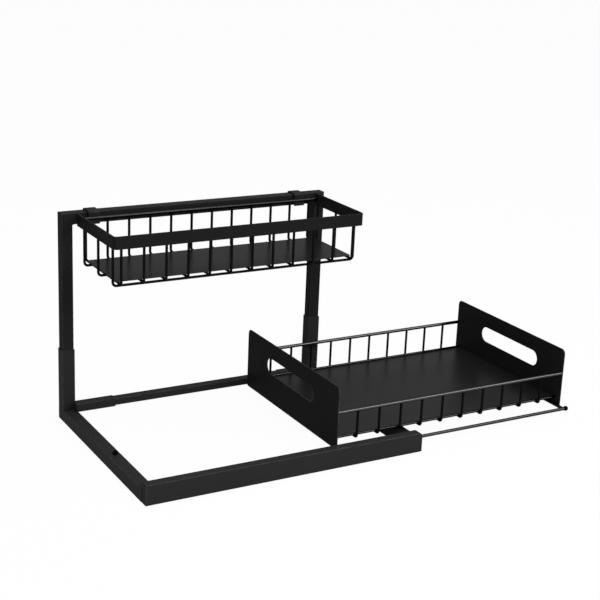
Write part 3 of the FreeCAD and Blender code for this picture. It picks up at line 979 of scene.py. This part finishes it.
@dataclass
class Rails:
    """Front rail with its ends, and the folded rear rail in its sockets.

    Attributes:
        frame: The tube frame, whose tube sizes the front rail shares.
        cap_round: Radius of the guide cap's top corner.
        cap_edge: Rounding of the guide cap's end face.
        bore_clearance: Room between the front rod and the bore of the guide cap.
        rail_wall: Thickness of the rear rail's sheet.
        rail_bend: Radius of the folds of the rear rail and its sockets, at the middle of the sheet.
        rail_lip: Width of the rear rail's inward lip.
        socket_wall: Thickness of the sockets' sheet.
        socket_end: Thickness of the tab that closes the left socket's outer end.
        sheet_edge: Rounding of cut sheet edges.
    """

    frame: TubeFrame
    cap_round: float = 5.0 * MILLIMETRE
    cap_edge: float = 0.6 * MILLIMETRE
    bore_clearance: float = 0.3 * MILLIMETRE
    rail_wall: float = 1.0 * MILLIMETRE
    rail_bend: float = 1.0 * MILLIMETRE
    rail_lip: float = 5.5 * MILLIMETRE
    socket_wall: float = 0.7 * MILLIMETRE
    socket_end: float = 2.2 * MILLIMETRE
    sheet_edge: float = 0.15 * MILLIMETRE

    def guide_cap(self) -> None:
        """Moulded end of the front rail, round at its top corner, with a bore for the rod."""
        node = "front_rail_guide_cap"
        span = Axis.X.spans(node)[0]
        rail_x, rail_y, rail_z = Axis.X.spans("front_rail")
        seam, end = rail_x[1], span[1]
        outer = RoundedRect.even(rail_y, rail_z, self.frame.corner)
        spigot = outer.inset(self.frame.plug_fit)
        stations = [Station(at, spigot) for at in (span[0], seam)]
        foot = eased((seam, end), self.cap_edge)[:EDGE_STEPS + 1]
        stations += [Station(at, outer.inset(i)) for at, i in foot]
        reach = min(self.cap_round, end - seam)
        for angle in quarter_turns(FOLD_STEPS)[1:]:
            at = end - reach * (1 - math.sin(angle))
            top = rail_z[1] - reach * (1 - math.cos(angle))
            lowered = RoundedRect(rail_y, (rail_z[0], top), outer.radii)
            past = max(0.0, at - end + self.cap_edge)
            inset = self.cap_edge - math.sqrt(max(0.0, self.cap_edge ** 2 - past ** 2))
            stations.append(Station(at, lowered.inset(inset)))
        _, rod_y, rod_z = Axis.X.spans("front_runner_rod")
        radius = half(rod_z) + self.bore_clearance
        bore = turned("rod_bore", Axis.X, (middle(rod_y), middle(rod_z)),
                      [(at, radius) for at in shrunk(span, -radius)])
        dress(loft("front_rail_rod_guide", Axis.X, stations, bore), Body.FRAME, MOULDED, [node])

    def rear_rail(self) -> None:
        """Folded channel with one inward lip, in which the rear rod slides."""
        span, y, z = Axis.X.spans("rear_rail")
        (front, back), (low, high) = shrunk(y, self.rail_wall / 2), shrunk(z, self.rail_wall / 2)
        corners = [(y[0] + self.rail_lip, low), (front, low), (front, high), (back, high), (back, z[0])]
        piece = folded_sheet("rear_rail_channel", Axis.X, span, corners, self.rail_bend, self.rail_wall,
                             self.sheet_edge)
        dress(piece, Body.FRAME, LOWER_COAT_WITH_PAINTED_LIGHT, ["rear_rail"])

    def socket(self, side: str) -> None:
        """Folded sleeve that holds one end of the rear rail.

        Args:
            side: Left or right.
        """
        node = side + "_rear_rail_socket"
        span, y, (low, high) = Axis.X.spans(node)
        front, back = shrunk(y, self.socket_wall / 2)
        top = high - self.socket_wall / 2
        corners = [(front, low), (front, top), (back, top), (back, low)]
        piece = folded_sheet(side + "_rail_socket_sheet", Axis.X, span, corners, self.rail_bend,
                             self.socket_wall, self.sheet_edge)
        dress(piece, Body.FRAME, LOWER_COAT_WITH_PAINTED_LIGHT, [node])

    def end_tab(self) -> None:
        """Tab that closes the outer end of the left socket; the rear rod comes out of the right one."""
        span, y, (low, high) = Axis.X.spans("left_rear_rail_socket")
        start = span[0] + self.sheet_edge
        outline = RoundedRect.even(shrunk(y, self.socket_wall / 2), (low, high - self.socket_wall / 2),
                                   self.sheet_edge)
        tab = block("left_socket_end_tab", Axis.X, (start, start + self.socket_end), outline, self.sheet_edge)
        dress(tab, Body.FRAME, LOWER_COAT_WITH_PAINTED_LIGHT)

    def build(self) -> None:
        """Builds and dresses both rails."""
        self.frame.tube("front_rail_tube", "front_rail", Axis.X)
        self.frame.plug("front_rail_end", "front_rail_plug", "front_rail", Axis.X, False)
        self.guide_cap()
        self.rear_rail()
        for side in SIDES:
            self.socket(side)
        self.end_tab()


@dataclass
class WireTier:
    """What the basket and the drawer share: wires, weld beads and a plate floor.

    Attributes:
        wires: Tool that makes rows of bent wire.
        welds: Tool that makes weld beads.
        body: Body that the tier's pieces ride on.
        cross_count: Number of wires bent front to back.
        wire_end: Rounding of straight wires' ends.
        floor_round: Radius of the floor's corners.
        bead: Size of a weld bead along X, Y and Z.
        bead_seed: Seed of the beads' differences in size.
        bead_swing: Share by which they differ.
        bend_steps: Steps in each bend of a wire.
        floor_edge: Rounding of the floor's edges.
    """

    wires: NodeTool
    welds: NodeTool
    body: Body
    cross_count: int
    wire_end: float
    floor_round: float
    bead: Triple
    bead_seed: int
    bead_swing: float = 0.3
    bend_steps: int = 8
    floor_edge: float = 0.3 * MILLIMETRE

    def wire_row(self, name: str, nodes: Sequence[str], axis: Axis, bend: float,
                 first_top: Optional[float] = None) -> None:
        """Row of wires, each bent up at both ends.

        Args:
            name: Name of the piece.
            nodes: Nodes that it replaces, in order.
            axis: Axis that the row runs along.
            bend: Radius of the bends, at the wire's middle.
            first_top: Height of the wires' first ends, where it isn't that of the last.
        """
        across, run, (low, top) = axis.spans(nodes[0])
        radius, place = half(across), middle(across)
        first, last = shrunk(run, radius)
        path = [(first, first_top or top), (first, low + radius), (last, low + radius), (last, top)]
        step = (middle(axis.spans(nodes[-1])[0]) - place) / (len(nodes) - 1)
        piece = self.wires.run(name, [axis.point(place, u, v) for u, v in path], True, Wire_Radius=radius,
                               Bend_Radius=bend, Bend_Steps=self.bend_steps, Count=len(nodes),
                               Step=tuple(axis.point(step, 0.0, 0.0)), Material=WIRE_COAT.material())
        dress(piece, self.body, WIRE_COAT, nodes)

    def straight_wire(self, name: str, node: str, finish: Finish) -> None:
        """Straight wire from end to end."""
        radius = half(Axis.X.spans(node)[1])
        straight_rod(name, node, Axis.X, radius, self.wire_end, self.body, finish)

    def floor(self, name: str, node: str, finish: Finish) -> None:
        """Thin plate on the wires.

        Args:
            name: Name of the piece.
            node: Node that it replaces.
            finish: Its finish.
        """
        span, x, y = Axis.Z.spans(node)
        outline = RoundedRect.even(x, y, self.floor_round)
        dress(block(name, Axis.Z, span, outline, self.floor_edge), self.body, finish, [node])

    def weld_beads(self, name: str, spots: Sequence[Vector]) -> None:
        """Weld beads where wires cross.

        Args:
            name: Name of the piece.
            spots: Places of the beads.
        """
        piece = self.welds.run(name, spots, False, Bead_Size=self.bead, Swing=self.bead_swing,
                               Seed=self.bead_seed, Material=WIRE_COAT.material())
        dress(piece, self.body, WIRE_COAT)


@dataclass
class WireBasket(WireTier):
    """Upper basket: flat rim, bent wires, plate floor and hooks over the top bar.

    Attributes:
        long_count: Number of wires bent end to end.
        rim_thickness: Thickness of the rim strip.
        rim_round: Outside radius of the rim's corners.
        strip_edge: Rounding of the strips' edges.
        cross_bend: Radius of the cross wires' bends, at their middle.
        long_bend: Radius of the long wires' bends, at their middle.
        hook_thickness: Thickness of the hook straps.
        hook_bend: Outside radius of the hooks' bends.
        hook_rear_length: How far the rear leg hangs down from the top of the strap.
    """

    body: Body = Body.BASKET
    cross_count: int = 12
    wire_end: float = 0.4 * MILLIMETRE
    floor_round: float = 4.0 * MILLIMETRE
    bead: Triple = (1.1 * MILLIMETRE, 1.1 * MILLIMETRE, 0.6 * MILLIMETRE)
    bead_seed: int = 7
    long_count: int = 3
    rim_thickness: float = 2.0 * MILLIMETRE
    rim_round: float = 6.0 * MILLIMETRE
    strip_edge: float = 0.4 * MILLIMETRE
    cross_bend: float = 3.0 * MILLIMETRE
    long_bend: float = 5.0 * MILLIMETRE
    hook_thickness: float = 1.8 * MILLIMETRE
    hook_bend: float = 3.0 * MILLIMETRE
    hook_rear_length: float = 16.1 * MILLIMETRE

    def rim(self) -> None:
        """Flat strip bent round the front corners."""
        span, x, y = Axis.Z.spans("upper_basket_rim")
        inward = self.rim_thickness / 2
        left, right = shrunk(x, inward)
        corners = [(left, y[1]), (left, y[0] + inward), (right, y[0] + inward), (right, y[1])]
        piece = folded_sheet("upper_basket_rim_strip", Axis.Z, span, corners, self.rim_round - inward,
                             self.rim_thickness, self.strip_edge)
        dress(piece, self.body, RIM_COAT_WITH_PAINTED_SHADE, ["upper_basket_rim"])

    def hook(self, side: str) -> None:
        """Strap bent over the top bar.

        Args:
            side: Left or right.
        """
        node = side + "_hook"
        span, y, (low, high) = Axis.X.spans(node)
        inward = self.hook_thickness / 2
        front, back = shrunk(y, inward)
        corners = [(front, low), (front, high - inward), (back, high - inward),
                   (back, high - self.hook_rear_length)]
        piece = folded_sheet(side + "_hook_strap", Axis.X, span, corners, self.hook_bend - inward,
                             self.hook_thickness, self.strip_edge)
        dress(piece, self.body, UPPER_COAT_WITH_PAINTED_SHADE, [node])

    def build(self) -> None:
        """Builds and dresses every piece of the basket."""
        cross = numbered("upper_basket_cross_wire", self.cross_count, 2)
        long = numbered("upper_basket_long_wire", self.long_count, 1)
        self.rim()
        rim_middle = middle(Axis.Z.spans("upper_basket_rim")[0])
        self.wire_row("upper_basket_cross_wires", cross, Axis.X, self.cross_bend, rim_middle)
        self.wire_row("upper_basket_long_wires", long, Axis.Y, self.long_bend)
        self.straight_wire("upper_basket_back_wire", "upper_basket_rear_wire", WIRE_COAT_WITH_PAINTED_SHADE)
        self.floor("upper_basket_floor_plate", "upper_basket_floor", BASKET_FLOOR_COAT)
        for side in SIDES:
            self.hook(side)
        height = Axis.Z.spans(cross[0])[0][0]
        spots = [Vector((middle(Axis.X.spans(c)[0]), middle(Axis.Y.spans(n)[0]), height))
                 for c in cross for n in long]
        self.weld_beads("upper_basket_weld_beads", spots)


@dataclass
class Drawer(WireTier):
    """Pull-out drawer: slotted end plates, fence wires, bent wires and plate floor.

    Attributes:
        wire_bend: Radius of the wires' bends, at their middle.
        top_round: Radius of the plates' top corners.
        foot_round: Radius of the plates' bottom corners.
        plate_edge: Rounding of the plates' edges.
        slot_length: Length of the hand slot.
        slot_height: Height of the hand slot.
        slot_drop: Distance from the top of a plate to the middle of its slot.
        slot_offset: Distance of the slot's middle from the plate's middle.
    """

    body: Body = Body.DRAWER
    cross_count: int = 10
    wire_end: float = 0.3 * MILLIMETRE
    floor_round: float = 5.0 * MILLIMETRE
    bead: Triple = (1.0 * MILLIMETRE, 0.6 * MILLIMETRE, 1.1 * MILLIMETRE)
    bead_seed: int = 11
    wire_bend: float = 4.0 * MILLIMETRE
    top_round: float = 7.0 * MILLIMETRE
    foot_round: float = 3.0 * MILLIMETRE
    plate_edge: float = 0.35 * MILLIMETRE
    slot_length: float = 136.0 * MILLIMETRE
    slot_height: float = 23.4 * MILLIMETRE
    slot_drop: float = 34.7 * MILLIMETRE
    slot_offset: float = 2.65 * MILLIMETRE

    def plate(self, side: str) -> None:
        """End plate with a slot for the hand.

        Args:
            side: Left or right.
        """
        node = "drawer_%s_plate" % side
        span, y, z = Axis.X.spans(node)
        outline = RoundedRect(y, z, (self.foot_round, self.foot_round, self.top_round, self.top_round))
        mid_y = middle(y) + (self.slot_offset if side == "left" else -self.slot_offset)
        mid_z = z[1] - self.slot_drop
        slot_round = self.slot_height / 2
        slot = RoundedRect.even((mid_y - self.slot_length / 2, mid_y + self.slot_length / 2),
                                (mid_z - slot_round, mid_z + slot_round), slot_round)
        piece = block("drawer_%s_end_plate" % side, Axis.X, span, outline, self.plate_edge, slot)
        dress(piece, self.body, PLATE_COAT, [node])

    def fence_spots(self, nodes: Sequence[str]) -> list[Vector]:
        """Places where the bent wires meet the fence's straight wires.

        Args:
            nodes: Nodes of the bent wires.

        Returns:
            The places, wire by wire.
        """
        spots = []
        for end in ENDS:
            for height in ("top", "base"):
                _, wire_y, wire_z = Axis.X.spans("drawer_%s_%s_wire" % (end, height))
                for node in nodes:
                    x, y, _ = Axis.X.spans(node)
                    radius = half(x)
                    fence_y = y[0] + radius if end == "front" else y[1] - radius
                    way = 1.0 if middle(wire_y) > fence_y else -1.0
                    spots.append(Vector((middle(x), fence_y + way * radius, middle(wire_z))))
        return spots

    def build(self) -> None:
        """Builds and dresses every piece of the drawer."""
        nodes = numbered("drawer_cross_wire", self.cross_count, 2)
        for side in SIDES:
            self.plate(side)
        for end in ENDS:
            for height, finish in (("top", FENCE_COAT), ("base", WIRE_COAT_WITH_PAINTED_SHADE)):
                stem = "drawer_%s_%s" % (end, height)
                self.straight_wire(stem + "_rail_wire", stem + "_wire", finish)
        self.wire_row("drawer_cross_wires", nodes, Axis.X, self.wire_bend)
        self.floor("drawer_floor_plate", "drawer_floor", DRAWER_FLOOR_COAT)
        self.weld_beads("drawer_weld_beads", self.fence_spots(nodes))


@dataclass
class Runner:
    """Rods that carry the drawer in the rails, with ball caps and guide blocks.

    Attributes:
        rod_edge: Rounding of the rods' ends.
        ball_steps: Steps of a ball cap's profile.
        neck_radius: Radius of the neck of a ball cap.
        neck_length: Length of that neck.
    """

    rod_edge: float = 0.4 * MILLIMETRE
    ball_steps: int = 16
    neck_radius: float = 2.7 * MILLIMETRE
    neck_length: float = 1.2 * MILLIMETRE

    def rod(self, name: str, node: str, axis: Axis) -> None:
        """Straight round rod of the runner."""
        radius = half(axis.spans(node)[2])
        straight_rod(name, node, axis, radius, self.rod_edge, Body.DRAWER, DRAWN_STEEL)

    def ball(self, end: str) -> None:
        """Rubber ball cap with a short neck on the rod.

        Args:
            end: Front or rear.
        """
        node = end + "_ball_cap"
        x, y, z = Axis.X.spans(node)
        radius = half(z)
        centre = x[1] - radius
        join = centre - math.sqrt(radius ** 2 - self.neck_radius ** 2)
        profile = [(join - self.neck_length, self.neck_radius)]
        first = math.asin(self.neck_radius / radius)
        for step in range(self.ball_steps + 1):
            angle = first + (math.pi - first) * step / self.ball_steps
            profile.append((centre - radius * math.cos(angle), max(radius * math.sin(angle), LEAST_RADIUS)))
        piece = turned(end + "_ball_end", Axis.X, (middle(y), middle(z)), profile)
        dress(piece, Body.DRAWER, RUBBER, [node])

    def blocks(self) -> None:
        """Finish of the guide blocks, which keep their solid shapes."""
        for end in ENDS:
            materials = frame["nodes"][end + "_runner_block"].data.materials
            materials.clear()
            materials.append(MOULDED.material())

    def build(self) -> None:
        """Builds and dresses every piece of the runner."""
        for end in ENDS:
            self.rod(end + "_slide_rod", end + "_runner_rod", Axis.X)
            self.ball(end)
        self.rod("drawer_end_rod", "drawer_cross_rod", Axis.Y)
        self.blocks()


@dataclass(frozen=True)
class Lamp:
    """Soft rectangular lamp: its name, place, width and height, and power in watts."""

    name: str
    place: Triple
    size: Point2
    power: float

    def build(self, aim: Vector) -> None:
        """Adds the lamp to the scene.

        Args:
            aim: What it points at.
        """
        data = bpy.data.lights.new(self.name, "AREA")
        data.shape = "RECTANGLE"
        data.size, data.size_y = self.size
        data.energy = self.power
        lamp = bpy.data.objects.new(self.name, data)
        bpy.context.scene.collection.objects.link(lamp)
        lamp.location = self.place
        lamp.rotation_mode = "QUATERNION"
        lamp.rotation_quaternion = (aim - Vector(self.place)).to_track_quat("-Z", "Y")


@dataclass
class Studio:
    """White floor and surroundings, soft lamps and the camera.

    Attributes:
        camera_place: Place of the camera.
        azimuth: Angle of the view about Z, in degrees.
        elevation: Angle of the view above the horizon, in degrees.
        roll: Turn of the camera about its own axis, in degrees.
        lens: Focal length, in millimetres.
        sight: How far the camera sees.
        floor_size: Half the side of the floor.
        floor_drop: How far the floor lies under the object.
        floor_shine: Share of the floor that is plain white and takes no shadow.
        floor_shade: Level of grey of the rest of the floor.
        ambient: Strength of the light from all round.
        aim: What the lamps point at.
        lamps: The lamps.
    """

    camera_place: Triple = (-0.917109, -1.523272, 0.734416)
    azimuth: float = -30.0121
    elevation: float = 17.3744
    roll: float = 2.4795
    lens: float = 80.3583
    sight: float = 120.0
    floor_size: float = 30.0
    floor_drop: float = 0.2 * MILLIMETRE
    floor_shine: float = 0.97
    floor_shade: float = 0.85
    ambient: float = 0.3
    aim: Triple = (0.0, 0.0, 0.12)
    lamps: tuple[Lamp, ...] = (Lamp("left softbox", (-0.36, -1.72, 1.33), (1.6, 0.7), 14.0),
                               Lamp("right softbox", (1.06, -1.6, 1.2), (1.4, 0.4), 19.0),
                               Lamp("top softbox", (0.0, 0.1, 1.9), (1.4, 1.4), 16.0))

    def seen_white(self, tree: Tree) -> Socket:
        """Factor that is one for what the camera, reflections and glass see.

        Args:
            tree: Tree that the nodes go into.

        Returns:
            The factor's socket.
        """
        path = tree.nodes.new("ShaderNodeLightPath")
        total = path.outputs["Is Camera Ray"]
        for other in ("Is Glossy Ray", "Is Transmission Ray"):
            total = math_node(tree, "MAXIMUM", total, path.outputs[other])
        return total

    def surroundings(self) -> None:
        """World that is white to look at and a plain soft light on the object."""
        world = bpy.data.worlds.new("white surroundings")
        bpy.context.scene.world = world
        world.use_nodes = True
        tree = world.node_tree
        level = add_node(tree, "ShaderNodeMapRange", Value=self.seen_white(tree), To_Min=self.ambient,
                         To_Max=1.0)
        background = tree.nodes["Background"]
        feed(tree, background.inputs["Color"], WHITE)
        feed(tree, background.inputs["Strength"], level.outputs["Result"])

    def floor(self) -> None:
        """White floor that keeps a faint shadow."""
        size, z = self.floor_size, -self.floor_drop
        mesh = bpy.data.meshes.new("floor")
        mesh.from_pydata([(-size, -size, z), (size, -size, z), (size, size, z), (-size, size, z)], [],
                         [(0, 1, 2, 3)])
        white = bpy.data.materials.new("white floor")
        white.use_nodes = True
        tree = white.node_tree
        tree.nodes.remove(tree.nodes["Principled BSDF"])
        plain = add_node(tree, "ShaderNodeEmission", Color=WHITE)
        shade = grey(self.floor_shade, self.floor_shade)
        lit = add_node(tree, "ShaderNodeBsdfDiffuse", Color=(*shade, 1.0))
        share = math_node(tree, "MULTIPLY", self.seen_white(tree), self.floor_shine)
        mix = add_node(tree, "ShaderNodeMixShader", Fac=share)
        feed(tree, mix.inputs[1], lit.outputs[0])
        feed(tree, mix.inputs[2], plain.outputs[0])
        feed(tree, tree.nodes["Material Output"].inputs["Surface"], mix.outputs[0])
        mesh.materials.append(white)
        new_object("floor", mesh)

    def camera(self) -> None:
        """Camera at the photograph's place and angle."""
        azimuth, elevation, roll = (math.radians(a) for a in (self.azimuth, self.elevation, self.roll))
        back = Vector((math.sin(azimuth) * math.cos(elevation), -math.cos(azimuth) * math.cos(elevation),
                       math.sin(elevation)))
        right = Vector((math.cos(azimuth), math.sin(azimuth), 0.0))
        up = back.cross(right)
        turned_right = right * math.cos(roll) + up * math.sin(roll)
        turned_up = up * math.cos(roll) - right * math.sin(roll)
        data = bpy.data.cameras.new("camera")
        data.lens = self.lens
        data.clip_end = self.sight
        camera = bpy.data.objects.new("camera", data)
        bpy.context.scene.collection.objects.link(camera)
        turn = Matrix((turned_right, turned_up, back)).transposed()
        camera.matrix_world = Matrix.Translation(Vector(self.camera_place)) @ turn.to_4x4()
        bpy.context.scene.camera = camera

    def build(self) -> None:
        """Builds the stage, the lamps and the camera."""
        bpy.context.scene.view_settings.view_transform = "Standard"
        self.surroundings()
        self.floor()
        for lamp in self.lamps:
            lamp.build(Vector(self.aim))
        self.camera()


def main() -> None:
    """Builds the organizer and its studio."""
    logging.basicConfig(level=logging.INFO, format="%(name)s: %(message)s")
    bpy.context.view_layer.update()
    tubes = TubeFrame()
    wires, welds = wire_tool(), weld_tool()
    for part in (tubes, Rails(tubes), WireBasket(wires, welds), Drawer(wires, welds), Runner(), Studio()):
        log.info("building %s", type(part).__name__)
        part.build()


if __name__ == "__main__":
    main()
